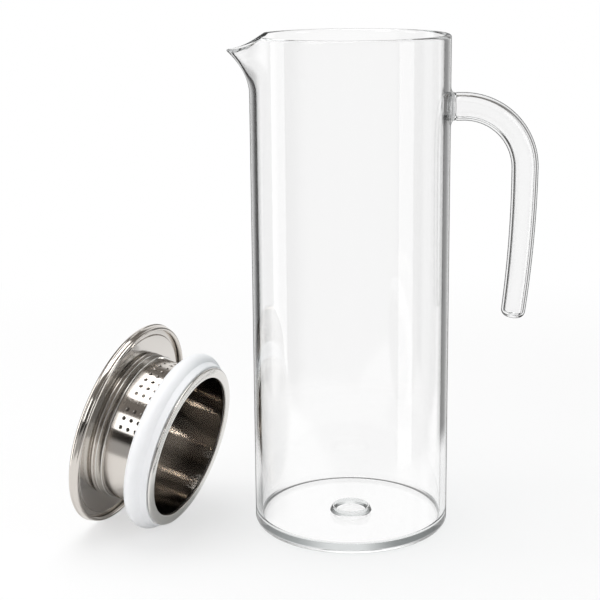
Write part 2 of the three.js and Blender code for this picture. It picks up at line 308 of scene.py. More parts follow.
def panorama(add, axes):
    """How white the room is in a direction, from 0 in its dark parts to 1 on the backdrop."""
    turn = add(MATH, "ARCTAN2", axes["X"], axes["Y"])
    azimuth = add(MATH, "SUBTRACT", turn, BACKDROP_TURN)
    off = add(MATH, "ABSOLUTE", azimuth)
    backdrop = add(MAP_RANGE, SOFT_STEP, off, *BACKDROP_SIDE)
    near = add(MAP_RANGE, SOFT_STEP, off, *CARD_NEAR)
    far = add(MAP_RANGE, SOFT_STEP, off, *CARD_FAR)
    card = add(MATH, "MULTIPLY", near, far)
    front = add(MAP_RANGE, SOFT_STEP, off, *APRON_SIDE)
    low = add(MAP_RANGE, SOFT_STEP, axes["Z"], *APRON_TOP)
    apron = add(MATH, "MULTIPLY", front, low)
    dim_apron = add(MATH, "MULTIPLY", apron, APRON_SEEN)
    sides = add(MATH, "ADD", card, dim_apron)
    bright = add(MATH, "ADD", backdrop, sides)
    right = add(MAP_RANGE, SOFT_STEP, azimuth, *RIGHT_WALL)
    wall = add(MATH, "MULTIPLY", right, RIGHT_WALL_SEEN)
    all_round = add(MATH, "MAXIMUM", bright, wall)
    top = add(MAP_RANGE, SOFT_STEP, axes["Z"], *PANORAMA_TOP)
    foot = add(MAP_RANGE, SOFT_STEP, axes["Z"], *PANORAMA_FOOT)
    height = add(MATH, "MULTIPLY", top, foot)
    return add(MATH, "MULTIPLY", all_round, height)


print("panorama ready, with its card from", CARD_NEAR[0], "to", CARD_FAR[0], "radians")

# %% [markdown]
# ## The world's shader
# Each kind of ray gets its own background: plain white for what is seen directly, an even light
# for matt surfaces, and the panorama over the dark room for mirrored rays.

# %% World
ROOM_AMBIENT = 0.52
ROOM_DARK = "#24211f"
CEILING = "#77736f"
CEILING_EDGE = rises(26, 44)


def make_world():
    world = bpy.data.worlds.new("studio room")
    bpy.context.scene.world = world
    world.use_nodes = True
    world.node_tree.nodes.clear()
    add = partial(add_node, world.node_tree)
    straight, _, diffuse, _ = ray_kinds(add)
    looking = add("ShaderNodeTexCoord").outputs["Generated"]
    axes = add("ShaderNodeSeparateXYZ", None, looking).outputs
    up = add(MAP_RANGE, SOFT_STEP, axes["Z"], *CEILING_EDGE)
    dark = add(MIX, COLOURS, up, _6=linear(ROOM_DARK), _7=linear(CEILING))
    unclamped = {**COLOURS, "clamp_factor": False}
    mirror_view = add(MIX, unclamped, panorama(add, axes), _6=dark, _7=WHITE)
    white = add("ShaderNodeBackground", Color=WHITE, Strength=1.0)
    ambient = add("ShaderNodeBackground", Color=WHITE, Strength=ROOM_AMBIENT)
    mirrored = add("ShaderNodeBackground", Color=mirror_view, Strength=1.0)
    lit = add(MIX_SHADER, None, diffuse, mirrored, ambient)
    seen = add(MIX_SHADER, None, straight, lit, white)
    add("ShaderNodeOutputWorld", Surface=seen)


make_world()
print("room made")

# %% [markdown]
# ## Lamps
# Four softboxes give a plain, even light. One hangs overhead. Two tall ones stand at the left and
# at the right and reach down past the table: their reflections are the two long white strips on
# the glass, so their places come from where those strips are seen. A strip at a share `b` of the
# glass's radius mirrors a lamp at twice the angle whose sine is `b`. A small one in front, at the
# left, is the second white band on the steel.

# %% Lamps
def softbox(name, place, aim, width, height, radiance):
    """A soft lamp that shows in reflections, but neither to the camera nor straight through glass."""
    data = bpy.data.lights.new(name, "AREA")
    data.shape = "RECTANGLE"
    data.size, data.size_y = width, height
    data.energy = radiance * math.pi * width * height
    lamp = bpy.data.objects.new(name, data)
    bpy.context.scene.collection.objects.link(lamp)
    lamp.location = place
    lamp.rotation_euler = (Vector(aim) - Vector(place)).to_track_quat("-Z", "Y").to_euler()
    lamp.visible_camera = False
    lamp.visible_transmission = False
    print(name, round(data.energy, 2), "W")
    return lamp


def strip_place(strip_share, distance, height):
    """Where a softbox stands so that its reflection is seen at that share of the glass's radius."""
    angle = 2 * math.asin(strip_share)
    return Vector((distance * math.sin(angle), -distance * math.cos(angle), height))


LEFT_STRIP_SHARE = -0.70
RIGHT_STRIP_SHARE = 0.52
# Each row: name, place, the point that it faces, its width and height in metres, and its radiance.
SOFTBOXES = [
    ("left softbox", strip_place(LEFT_STRIP_SHARE, 0.8, 0.1), (0, 0, 0.1), 0.3, 1.5, 2.4),
    ("right softbox", strip_place(RIGHT_STRIP_SHARE, 0.9, 0.2), (0, 0, 0.2), 0.3, 1.3, 2.2),
    ("overhead softbox", (-0.2, 0.05, 1.3), (-0.05, 0, 0), 1.1, 0.82, 2.9),
    ("front softbox", (-0.68, -0.68, 0.5), (-0.1, 0, 0.04), 0.4, 0.42, 2.4),
]
for row in SOFTBOXES:
    softbox(*row)

# %% [markdown]
# ## Meshes turned on an axis
# The glass, the seal and all the steel pieces are round, as their makers form them: blown on a
# pipe, pressed, or turned. So one helper makes them all. It takes an outline of (radius, height)
# points and turns it about an axis, with one shared point where the outline meets the axis and no
# doubled seam. An outline that stays off the axis closes on itself, as a ring.

# %% Outline and turning helpers
def arc(radius, height, size, start, end, steps=8):
    """Points of an arc about (radius, height), from one angle to another."""
    angles = [start + (end - start) * i / steps for i in range(steps + 1)]
    return [(radius + size * math.cos(a), height + size * math.sin(a)) for a in angles]


def turned(name, outline, sides, angle_at=None):
    """A closed mesh made by turning an outline, given in metres. angle_at spaces the sides."""
    on_axis = [r < 1e-9 for r, _ in outline]
    vertices, rows = [], []
    for (radius, height), pole in zip(outline, on_axis):
        row = []
        for i in range(1 if pole else sides):
            turn = 2 * math.pi * i / sides
            turn = angle_at(turn) if angle_at else turn
            row.append(len(vertices))
            vertices.append((radius * math.cos(turn), radius * math.sin(turn), height))
        rows.append(row)
    pairs = list(zip(rows, rows[1:]))
    if not on_axis[0] and not on_axis[-1]:
        pairs.append((rows[-1], rows[0]))
    faces = []
    for a, b in pairs:
        for i in range(sides):
            j = (i + 1) % sides
            corners = [a[i % len(a)], a[j % len(a)], b[j % len(b)], b[i % len(b)]]
            faces.append(list(dict.fromkeys(corners)))
    mesh = bpy.data.meshes.new(name)
    mesh.from_pydata(vertices, [], faces)
    return facing_out(mesh)


def facing_out(mesh):
    """Turns a closed mesh's faces outwards, judged by the sign of its volume."""
    mesh.calc_loop_triangles()
    points = [v.co for v in mesh.vertices]
    volume = sum(points[a].dot(points[b].cross(points[c])) for a, b, c in
                 (t.vertices for t in mesh.loop_triangles))
    if volume < 0:
        mesh.flip_normals()
    return mesh


SHARP_ANGLE = math.radians(35)


def smoothed(mesh):
    """Smooth shading that keeps the edges where two faces meet at more than SHARP_ANGLE."""
    mesh.shade_smooth()
    mesh.set_sharp_from_angle(angle=SHARP_ANGLE)
    return mesh


def add_object(mesh, material):
    """Links a mesh to the scene as an object at the origin, with its material."""
    piece = bpy.data.objects.new(mesh.name, mesh)
    bpy.context.scene.collection.objects.link(piece)
    mesh.materials.clear()
    mesh.materials.append(material)
    return piece


print("turning helpers ready")

# %% [markdown]
# ## Finish: blown glass
# The real pitcher is borosilicate glass, blown and fire-polished, which leaves a surface with no
# roughness at all. It is a solid wall with two faces, and the glass shader does what each face
# does: bend light by its IOR of 1.47, and mirror more of it the flatter it arrives. On top of
# that, the outer face is painted darker towards grazing angles and ends in a fine painted dark
# line, which is wider on the thin handle: painted shade at the glass's edges.
#
# Two kinds of ray pass straight through. Light on its way to something else does, because the
# renderer would cast a black shadow otherwise. So does light that was mirrored three times or
# more: in the floor and the heel it goes on to and fro, past the point where the renderer gives up
# and shows black. It comes out in a painted shade, darker towards the pitcher's sides and light
# near its middle.

# %% Blown glass
GLASS_IOR = 1.47
# The outer face darkens towards grazing angles: painted shade at the glass's edges.
GLASS_CLEAR, GLASS_EDGE_SHADE = "#ffffff", "#4c5152"
EDGE_SHADE_START, EDGE_SHADE_END = 0.86, 0.97
# A dark matt line mixed in at grazing angles: a painted dark edge line.
PAINTED_EDGE_LINE = "#3a3d3e"
LINE_START, LINE_END = 0.84, 0.93
LINE_SHARE = 0.75
HANDLE_SIDE = BODY_RADIUS + 1.5 * MM
HANDLE_LINE = 0.22
GLASS_SHADOW = "#eef0f0"
LAST_MIRRORING = 2.5
# Worn-out light gets painted shade, darker towards the pitcher's sides.
WORN_OUT_MIDDLE, WORN_OUT_SIDE_SHADE = "#f1f2f2", "#c8caca"
SIDE_SHADE_FADE = 3 * MM, 13 * MM


def painted_line_share(add, flatness, axes):
    """Share of the painted dark line where the glass is seen flatly."""
    on_handle = add(MATH, "GREATER_THAN", axes["X"], HANDLE_SIDE)
    wider = add(MATH, "MULTIPLY", on_handle, HANDLE_LINE)
    reach = add(MATH, "ADD", flatness, wider)
    return add(MAP_RANGE, SOFT_STEP, reach, LINE_START, LINE_END, 0.0, LINE_SHARE)


def passing_light(add, worn_out, axes):
    """Light that goes straight on, dimmed as in a shadow or, once it is worn out, by painted shade."""
    off_middle = add(MATH, "ABSOLUTE", axes["X"])
    side = add(MAP_RANGE, SOFT_STEP, off_middle, *SIDE_SHADE_FADE)
    # Painted shade, lighter near the middle and darker at the sides.
    painted_side_shade = add(MIX, COLOURS, side, _6=linear(WORN_OUT_MIDDLE), _7=linear(WORN_OUT_SIDE_SHADE))
    left_over = add(MIX, COLOURS, worn_out, _6=linear(GLASS_SHADOW), _7=painted_side_shade)
    return add("ShaderNodeBsdfTransparent", Color=left_over)


def blown_glass():
    material, add = new_material("blown borosilicate glass, fire-polished")
    slant = add("ShaderNodeLayerWeight", Blend=0.5).outputs["Facing"]
    from_inside = add("ShaderNodeNewGeometry").outputs["Backfacing"]
    from_outside = add(MATH, "SUBTRACT", 1.0, from_inside)
    flatness = add(MATH, "MULTIPLY", slant, from_outside)
    # Painted shade: the glass's colour darkens as its outer face turns away.
    edge_shade = add(MAP_RANGE, SOFT_STEP, flatness, EDGE_SHADE_START, EDGE_SHADE_END)
    tint = add(MIX, COLOURS, edge_shade, _6=linear(GLASS_CLEAR), _7=linear(GLASS_EDGE_SHADE))
    glass = add(
        "ShaderNodeBsdfPrincipled", Base_Color=tint,
        Roughness=0.0, IOR=GLASS_IOR, Transmission_Weight=1.0,
    )
    where = add("ShaderNodeTexCoord").outputs["Object"]
    axes = add("ShaderNodeSeparateXYZ", None, where).outputs
    # The painted dark edge line, a dark matt shader.
    line = add("ShaderNodeBsdfDiffuse", Color=linear(PAINTED_EDGE_LINE))
    with_painted_line = add(MIX_SHADER, None, painted_line_share(add, flatness, axes), glass, line)
    path = add("ShaderNodeLightPath").outputs
    lighting = add(MATH, "MAXIMUM", path["Is Shadow Ray"], path["Is Diffuse Ray"])
    worn_out = add(MATH, "GREATER_THAN", path["Glossy Depth"], LAST_MIRRORING)
    straight_on = add(MATH, "MAXIMUM", lighting, worn_out)
    passing = passing_light(add, worn_out, axes)
    finished = add(MIX_SHADER, None, straight_on, with_painted_line, passing)
    add("ShaderNodeOutputMaterial", Surface=finished)
    return material


glass_finish = blown_glass()
print("finish:", glass_finish.name)

# %% [markdown]
# ## The glass body
# A gaffer blows the body as a plain straight tube with a flat floor, and then pulls the spout out
# of the soft rim with one tool stroke. The lesson does the same: first the plain body is turned,
# and then a Geometry Nodes tree pulls the spout by a rule. The rule says how far a point moves
# out and down, from its angle to the spout's middle line and its depth below the rim. The wall
# has closer levels near the rim and closer sides towards the spout, where it will bend.

# %% Plain body, as it comes from the pipe
WALL = 3.2 * MM
FLOOR_THICKNESS = 4.4 * MM
HEEL_RADIUS = 3.4 * MM
FLOOR_FILLET = 3.0 * MM
FLOOR_RING_RADIUS = 9.3 * MM
FLOOR_RING_WIDTH = 3.2 * MM
FLOOR_RING_HEIGHT = 2.6 * MM
FLOOR_RING_ROUND = 1.2
FLOOR_RING_STEPS = 16
FINE_ZONE = 34 * MM
ZONE_LEVELS = 34
BODY_SIDES = 288
SPOUT_CROWD_SHARE = 0.5
BORE_RADIUS = BODY_RADIUS - WALL


def floor_ring():
    """Outline of the small raised ring on the floor, from outside to inside."""
    points = []
    for i in range(FLOOR_RING_STEPS + 1):
        across = i / FLOOR_RING_STEPS
        rise = FLOOR_RING_HEIGHT * math.sin(across * math.pi) ** FLOOR_RING_ROUND
        points.append((FLOOR_RING_RADIUS + FLOOR_RING_WIDTH * (0.5 - across), FLOOR_THICKNESS + rise))
    return points


def body_outline():
    rim_radius = WALL / 2
    rim_height = BODY_HEIGHT - rim_radius
    plain = rim_height - FINE_ZONE - HEEL_RADIUS
    coarse = [HEEL_RADIUS + plain * i / ZONE_LEVELS for i in range(1, ZONE_LEVELS)]
    fine = [rim_height - FINE_ZONE * (1 - i / ZONE_LEVELS) for i in range(ZONE_LEVELS)]
    levels = coarse + fine
    fillet_height = FLOOR_THICKNESS + FLOOR_FILLET
    inner_levels = [z for z in reversed(levels) if z > fillet_height + MM]
    return [
        (0, 0),
        (FLOOR_RING_RADIUS * 2, 0),
        *arc(BODY_RADIUS - HEEL_RADIUS, HEEL_RADIUS, HEEL_RADIUS, -QUARTER, 0, 12),
        *((BODY_RADIUS, z) for z in levels),
        *arc(BODY_RADIUS - rim_radius, rim_height, rim_radius, 0, math.pi, 16),
        *((BORE_RADIUS, z) for z in inner_levels),
        *arc(BORE_RADIUS - FLOOR_FILLET, fillet_height, FLOOR_FILLET, 0, -QUARTER, 10),
        (FLOOR_RING_RADIUS * 3, FLOOR_THICKNESS),
        *floor_ring(),
        (0, FLOOR_THICKNESS),
    ]


def towards_spout(turn):
    """Crowds the sides towards the spout, which lies at half a turn."""
    from_spout = turn - math.pi
    return math.pi + from_spout - SPOUT_CROWD_SHARE * math.sin(from_spout)


body_mesh = turned("pitcher_glass", body_outline(), BODY_SIDES, towards_spout)
print("plain body:", len(body_mesh.vertices), "points")

# %% [markdown]
# ## Helpers for Geometry Nodes
# A tree is built in the script, with named inputs for its sizes. `apply_tree` puts it on an
# object, sets each input by the socket's identifier, reads back the evaluated mesh and drops the
# modifier, so that only a plain mesh is left. A Boolean is read back in the same way.

# %% Geometry Nodes helpers
def new_tree(name, inputs):
    """A Geometry Nodes tree with named number inputs, add_node for it, and its inputs' sockets."""
    tree = bpy.data.node_groups.new(name, "GeometryNodeTree")
    face = tree.interface
    face.new_socket("Geometry", in_out="INPUT", socket_type="NodeSocketGeometry")
    for label, kind in inputs.items():
        face.new_socket(label, in_out="INPUT", socket_type=kind)
    face.new_socket("Geometry", in_out="OUTPUT", socket_type="NodeSocketGeometry")
    add = partial(add_node, tree)
    return tree, add, add("NodeGroupInput").outputs


def end_tree(add, geometry, material):
    """Ends a tree with Realize Instances and Set Material."""
    real = add("GeometryNodeRealizeInstances", Geometry=geometry)
    dressed = add("GeometryNodeSetMaterial", Geometry=real, Material=material)
    add("NodeGroupOutput", None, dressed)


def keep_result(piece, modifier):
    """Gives a piece the plain mesh that its modifier makes, and removes the modifier."""
    evaluated = piece.evaluated_get(bpy.context.evaluated_depsgraph_get())
    mesh = bpy.data.meshes.new_from_object(evaluated)
    mesh.name = piece.name
    piece.modifiers.remove(modifier)
    piece.data = mesh


def apply_tree(piece, tree, values):
    """Runs the tree on a piece with these input values and keeps the plain mesh that it makes."""
    modifier = piece.modifiers.new(tree.name, "NODES")
    modifier.node_group = tree
    for item in tree.interface.items_tree:
        if item.item_type == "SOCKET" and item.in_out == "INPUT" and item.name in values:
            modifier[item.identifier] = values[item.name]
    keep_result(piece, modifier)


print("Geometry Nodes helpers ready")

# %% [markdown]
# ## Pulling the spout
# `spread` is 0 on the spout's middle line and 1 at its flanks, and `below` is 0 at the rim and 1
# at the spout's foot. The wall moves out by the product of how far it is from both, raised to a
# power, which gives the narrow lip and the hollow throat. The rim dips by a cosine of the spread.

# %% Spout tree
SPOUT = {
    "Reach": 13.1 * MM,
    "Drop": 6.8 * MM,
    "Depth": 29.0 * MM,
    "Half Angle": math.radians(30),
    "Tip Angle": math.radians(1.6),
    "Narrowing": 2.0,
    "Dip": 1.3,
    "Rim Height": BODY_HEIGHT,
}


def spout_spread(add, given, axes):
    """0 on the spout's middle line, with a tip that is rounded over the tip angle, and 1 outside."""
    backwards = add(MATH, "MULTIPLY", axes["X"], -1.0)
    angle = add(MATH, "ARCTAN2", axes["Y"], backwards)
    across = add(MATH, "DIVIDE", angle, given["Half Angle"])
    tip = add(MATH, "DIVIDE", given["Tip Angle"], given["Half Angle"])
    sizes = [add(MATH, "ABSOLUTE", value) for value in (across, tip)]
    squares = [add(MATH, "POWER", size, 2.0) for size in sizes]
    total = add(MATH, "ADD", *squares)
    return add(MATH, "MINIMUM", add(MATH, "SQRT", total), 1.0)


def spout_tree(material):
    tree, add, given = new_tree("pull the spout", {name: "NodeSocketFloat" for name in SPOUT})
    place = add("GeometryNodeInputPosition")
    axes = add("ShaderNodeSeparateXYZ", None, place).outputs
    spread = spout_spread(add, given, axes)
    depth = add(MATH, "SUBTRACT", given["Rim Height"], axes["Z"])
    depth_share = add(MATH, "DIVIDE", depth, given["Depth"])
    below = add("ShaderNodeClamp", None, depth_share)
    inwards, upwards = [add(MATH, "SUBTRACT", 1.0, share) for share in (spread, below)]
    nearness = add(MATH, "MULTIPLY", inwards, upwards)
    out = add(MATH, "POWER", nearness, given["Narrowing"])
    wave = add(MATH, "COSINE", add(MATH, "MULTIPLY", spread, QUARTER))
    dip = add(MATH, "POWER", wave, given["Dip"])
    down = add(MATH, "MULTIPLY", dip, upwards)
    sideways = add("ShaderNodeCombineXYZ", X=axes["X"], Y=axes["Y"])
    outwards = add(VECTOR_MATH, "NORMALIZE", sideways)
    reach = add(MATH, "MULTIPLY", out, given["Reach"])
    push = add(VECTOR_MATH, "SCALE", outwards, Scale=reach)
    drop = add(MATH, "MULTIPLY", down, given["Drop"])
    sag = add("ShaderNodeCombineXYZ", Z=add(MATH, "MULTIPLY", drop, -1.0))
    offset = add(VECTOR_MATH, "ADD", push, sag)
    moved = add("GeometryNodeSetPosition", Geometry=given["Geometry"], Offset=offset)
    end_tree(add, moved, material)
    return tree


pitcher = add_object(body_mesh, glass_finish)
apply_tree(pitcher, spout_tree(glass_finish), SPOUT)
print("spout reaches x =", round(min(v.co.x for v in pitcher.data.vertices) / MM, 2), "mm")

# %% [markdown]
# ## The handle
# The handle is a length of glass tube. Its end is fused to the wall by a small gather, which
# flares where it meets the body and leaves a fine groove where it meets the tube. The tube runs
# straight out, bends down, and ends in a rounded nose with a small vent, which lets the hot air
# out while it is worked. It is drawn here as a straight turned shape, outside and inside in one
# outline, and then bent along its middle line.

# %% Handle sizes and middle line
HANDLE_HEIGHT = BODY_HEIGHT - 36.1 * MM
HANDLE_RADIUS = 7.1 * MM
HANDLE_END_RADIUS = 6.1 * MM
HANDLE_WALL = 1.9 * MM
HANDLE_RUN = 3.7 * MM
HANDLE_BEND_RADIUS = 31.5 * MM
HANDLE_BOW_RADIUS = 600 * MM
HANDLE_BOW_LENGTH = 77 * MM
HANDLE_VENT_RADIUS = 2.4 * MM
HANDLE_BORE_CORNER = 0.5 * MM
HANDLE_STEP = 1.2 * MM
HANDLE_SIDES = 72
FOOT_LENGTH = 2.3 * MM
FOOT_FLARE = 4.0 * MM
FOOT_STEPS = 14
FOOT_SINK = 1.2 * MM
GROOVE_DEPTH = 0.45 * MM
GROOVE_WIDTH = 0.9 * MM
GROOVE_END = 0.7 * MM
SEAM = 0.3 * MM

handle_start = BODY_RADIUS + FOOT_LENGTH + SEAM
bend_length = HANDLE_BEND_RADIUS * QUARTER
handle_length = HANDLE_RUN + bend_length + HANDLE_BOW_LENGTH


def handle_middle(along):
    """Place on the handle's middle line, and how far it has turned down, at a length from its start."""
    x = handle_start + min(along, HANDLE_RUN)
    z = HANDLE_HEIGHT
    turn = 0.0
    if along > HANDLE_RUN:
        turn = min((along - HANDLE_RUN) / HANDLE_BEND_RADIUS, QUARTER)
        x += HANDLE_BEND_RADIUS * math.sin(turn)
        z -= HANDLE_BEND_RADIUS * (1 - math.cos(turn))
    if along > HANDLE_RUN + bend_length:
        bow = (along - HANDLE_RUN - bend_length) / HANDLE_BOW_RADIUS
        x -= HANDLE_BOW_RADIUS * (1 - math.cos(bow))
        z -= HANDLE_BOW_RADIUS * math.sin(bow)
        turn += bow
    return x, z, turn


print("handle:", round(handle_length / MM, 1), "mm of tube, root at x =", round(handle_start / MM, 1))

# %% [markdown]
# ## The handle's skin
# The outline runs from the middle of the root over the flare, the groove and the tapering tube to
# the vent, and back inside. The flare is a quarter of an ellipse. Where the turned shape lies
# before the tube's start, it follows the round of the wall.

# %% Handle outline and mesh
def handle_outline():
    """(radius, length) of the handle's skin, all the way round its cut."""
    def taper(along):
        return HANDLE_RADIUS + (HANDLE_END_RADIUS - HANDLE_RADIUS) * max(along, 0) / handle_length

    nose = HANDLE_END_RADIUS - HANDLE_VENT_RADIUS
    straight = handle_length - nose
    steps = round(straight / HANDLE_STEP)
    rings = [GROOVE_END + (straight - GROOVE_END) * i / steps for i in range(steps)]
    foot = -FOOT_LENGTH - SEAM
    flare_length = FOOT_LENGTH - GROOVE_WIDTH / 2
    flare = []
    for i in range(FOOT_STEPS, -1, -1):
        angle = QUARTER * i / FOOT_STEPS
        radius = HANDLE_RADIUS + FOOT_FLARE * (1 - math.cos(angle))
        flare.append((radius, foot + flare_length * (1 - math.sin(angle))))
    bore = HANDLE_RADIUS - HANDLE_WALL
    corner = HANDLE_BORE_CORNER
    return [
        (0, foot - FOOT_SINK),
        (HANDLE_RADIUS + FOOT_FLARE, foot - FOOT_SINK),
        *flare,
        (HANDLE_RADIUS - GROOVE_DEPTH, -SEAM),
        (HANDLE_RADIUS - GROOVE_DEPTH * 0.4, GROOVE_WIDTH * 0.25 - SEAM),
        *((taper(s), s) for s in rings),
        *arc(HANDLE_VENT_RADIUS, straight, nose, 0, QUARTER, 12),
        *arc(HANDLE_VENT_RADIUS, straight, nose - HANDLE_WALL, QUARTER, 0, 8),
        *((taper(s) - HANDLE_WALL, s) for s in reversed(rings[2:])),
        *arc(bore - corner, corner, corner, 0, -QUARTER, 4),
        (0, 0),
    ]


def handle_mesh():
    mesh = turned("handle", handle_outline(), HANDLE_SIDES)
    for v in mesh.vertices:
        along = v.co.z
        if along < -SEAM:
            inset = BODY_RADIUS - math.sqrt(BODY_RADIUS ** 2 - v.co.y ** 2)
            follow = min(1.0, -along / (FOOT_LENGTH + SEAM))
            x, z = handle_start + along - inset * follow, HANDLE_HEIGHT + v.co.x
        else:
            x, z, turn = handle_middle(along)
            x, z = x + v.co.x * math.sin(turn), z + v.co.x * math.cos(turn)
        v.co = (x, v.co.y, z)
    return facing_out(mesh)


handle = add_object(handle_mesh(), glass_finish)
print("handle:", len(handle.data.vertices), "points")

# %% [markdown]
# ## Fusing the handle to the body
# Hot glass flows into one piece. Two meshes that only touch would mirror light at a face that
# isn't there, so the handle's root is sunk a little into the wall and both are joined with an
# exact Boolean union. What is left is one closed skin round one body of glass.

# %% Union of body and handle
def fuse(piece, other):
    """Joins another closed mesh into a piece with a Boolean union and removes the other."""
    modifier = piece.modifiers.new("fuse", "BOOLEAN")
    modifier.operation = "UNION"
    modifier.solver = "EXACT"
    modifier.object = other
    keep_result(piece, modifier)
    bpy.data.objects.remove(other)


fuse(pitcher, handle)
smoothed(pitcher.data)
print("pitcher:", len(pitcher.data.polygons), "faces")

# %% [markdown]
# ## Where the lid lies
# The lid is made upright, as a turner would hold it, with its open end at height 0, and then laid
# down. The frame's hinge `lid_turn` runs along the lid's own axis from the middle of its open
# end, so its place and axis say exactly how the lid lies.

# %% The lid's own frame
turn_joint = next(j for j in frame["joints"] if j["name"] == "lid_turn")
lid_origin = Vector(turn_joint["pos_m"])
lid_axis = Vector(turn_joint["axis"]).normalized()
lid_heading = math.atan2(-lid_axis.y, lid_axis.x)
lid_dip = math.asin(-lid_axis.z)
lid_turn = Matrix.Rotation(-lid_heading, 4, "Z") @ Matrix.Rotation(lid_dip - QUARTER, 4, "Y")
lid_matrix = Matrix.Translation(lid_origin) @ lid_turn
print("lid dips", round(math.degrees(lid_dip), 1), "and heads", round(math.degrees(lid_heading), 1))

# %% [markdown]
# ## Sizes of the lid
# The lid is built outwards from the bore of the glass: the seal fills the bore, the tube fills
# the seal, and the cap covers the rim. Heights are counted from the tube's open end. The space
# inside the lid ends at `inside_height`, between the plate's back and the inside of the cap.

# %% Lid sizes
LID_SIDES = 240
SEAL_SQUEEZE = 0.2 * MM
SEAL_THICKNESS = 9.0 * MM
SEAL_ROLL_RADIUS = 4.9 * MM
SEAL_ROLL_MEET = math.radians(65)
SEAL_SLEEVE_THICKNESS = 5.2 * MM
SEAL_SLEEVE_LENGTH = 3.1 * MM
SEAL_SLEEVE_ROUND = 0.9 * MM
TUBE_WALL = 0.7 * MM
END_RING_THICKNESS = 1.2 * MM
END_RING_WIDTH = 5.3 * MM
COLLAR_HEIGHT = 29.7 * MM
COLLAR_LENGTH = 4.2 * MM
COLLAR_WALL = 0.6 * MM
COLLAR_BEAD = 0.35 * MM
HEM_RISE = 4.9 * MM
HEM_BEAD_RADIUS = 1.0 * MM
HEM_TUCK = 0.3 * MM
HEM_NOTCH = math.radians(20)
CAP_OVERHANG = 3.8 * MM
CAP_SHEET = 0.8 * MM
CAP_BAND_LENGTH = 1.0 * MM
CAP_STEP = 0.4 * MM
CAP_SHOULDER_RADIUS = 2.0 * MM
CAP_DOME = 0.5 * MM
PLATE_SHEET = 0.8 * MM
PLATE_STEP = 0.6 * MM
PLATE_FLANGE = 3.6 * MM
PLATE_ROUND = 0.3 * MM
NECK_FLANGE = 1.2 * MM
TIGHT_SEAM = SEAM / 3

seal_radius = BORE_RADIUS + SEAL_SQUEEZE
seal_inner = seal_radius - SEAL_THICKNESS
tube_radius = seal_inner - SEAM
tube_bore = tube_radius - TUBE_WALL
tube_start = END_RING_THICKNESS + SEAM
tube_joint = COLLAR_HEIGHT + COLLAR_LENGTH / 2
sleeve_end = tube_start + SEAL_SLEEVE_LENGTH
roll_height = sleeve_end + SEAL_ROLL_RADIUS * math.sin(SEAL_ROLL_MEET)
hem_height = COLLAR_HEIGHT + HEM_RISE
bead_height = hem_height + HEM_BEAD_RADIUS
hem_top = bead_height + HEM_BEAD_RADIUS
cap_radius = BODY_RADIUS + CAP_OVERHANG
band_radius = cap_radius - CAP_STEP
bead_centre = band_radius - HEM_TUCK - HEM_BEAD_RADIUS
band_top = hem_top + CAP_BAND_LENGTH
shoulder_height = band_top + CAP_STEP
shoulder_centre = cap_radius - CAP_SHOULDER_RADIUS
plate_height = hem_top + SEAM
plate_face = plate_height - PLATE_STEP
cap_inner_height = shoulder_height + CAP_SHOULDER_RADIUS - CAP_SHEET
inside_height = (plate_height + PLATE_SHEET + cap_inner_height) / 2
print("seal", round(seal_radius / MM, 1), "mm, tube", round(tube_radius / MM, 1), "mm radius")

# %% [markdown]
# ## Finishes of the lid
# The lid is 18/8 stainless steel. Its pieces are pressed from sheet and finished on a spindle with
# abrasive belts, so fine scratches run round the axis. Such a surface mirrors sharply along the
# scratches and blurs across them: that is anisotropy, and it pulls the reflections into bands
# that run along the lid. The scratches follow the lid's own axis, so the material first turns
# Object coordinates into the lid's frame, and draws rings in them by radius and height. Real
# grit leaves lines some 0.05 mm apart; they are drawn about 0.3 mm apart, as coarse as they show.

# %% Coordinates of the lid
def lid_coordinates(add):
    """Object coordinates in the lid's frame, and the direction round its axis in world space."""
    where = add("ShaderNodeTexCoord").outputs["Object"]
    local = add(
        "ShaderNodeMapping", {"vector_type": "TEXTURE"}, Vector=where,
        Location=lid_origin, Rotation=lid_turn.to_euler(),
    )
    arm = add(VECTOR_MATH, "SUBTRACT", where, lid_origin)
    around = add(VECTOR_MATH, "CROSS_PRODUCT", lid_axis, arm)
    to_world = {"convert_from": "OBJECT", "convert_to": "WORLD"}
    turned_round = add("ShaderNodeVectorTransform", to_world, around)
    return local, add(VECTOR_MATH, "NORMALIZE", turned_round)


print("coordinates of the lid ready")

# %% [markdown]
# ## Turned steel
# One function makes all the steels, which differ in colour, roughness and depth of scratch. The
# sheet is a little uneven in tint. What lies inside the tube, up to the underside of the cap, was
# never reached by the belts: there the sheet is smooth, as it came from the mill, and its darker
# colour there is painted shade in the bore.

# %% Turned steel
SCRATCH_PITCH = 0.3 * MM
SCRATCH_DEPTH = 0.02 * MM
SCRATCH_LOW, SCRATCH_HIGH = 0.3, 0.7
ROUGHNESS_SHARES = 0.8, 1.25
STAIN_SIZE = 22 * MM
# The darker colour inside the tube is painted shade in the bore.
BORE_SHADE_COLOUR = "#bfbab4"
MILL_ROUGHNESS = 0.1


def inside_tube(add, radius, height):
    """1 within the middle of the tube's wall and below the inside of the cap, else 0."""
    narrow = add(MATH, "LESS_THAN", radius, tube_radius - TUBE_WALL / 2)
    below = add(MATH, "LESS_THAN", height, inside_height)
    return add(MATH, "MULTIPLY", narrow, below)


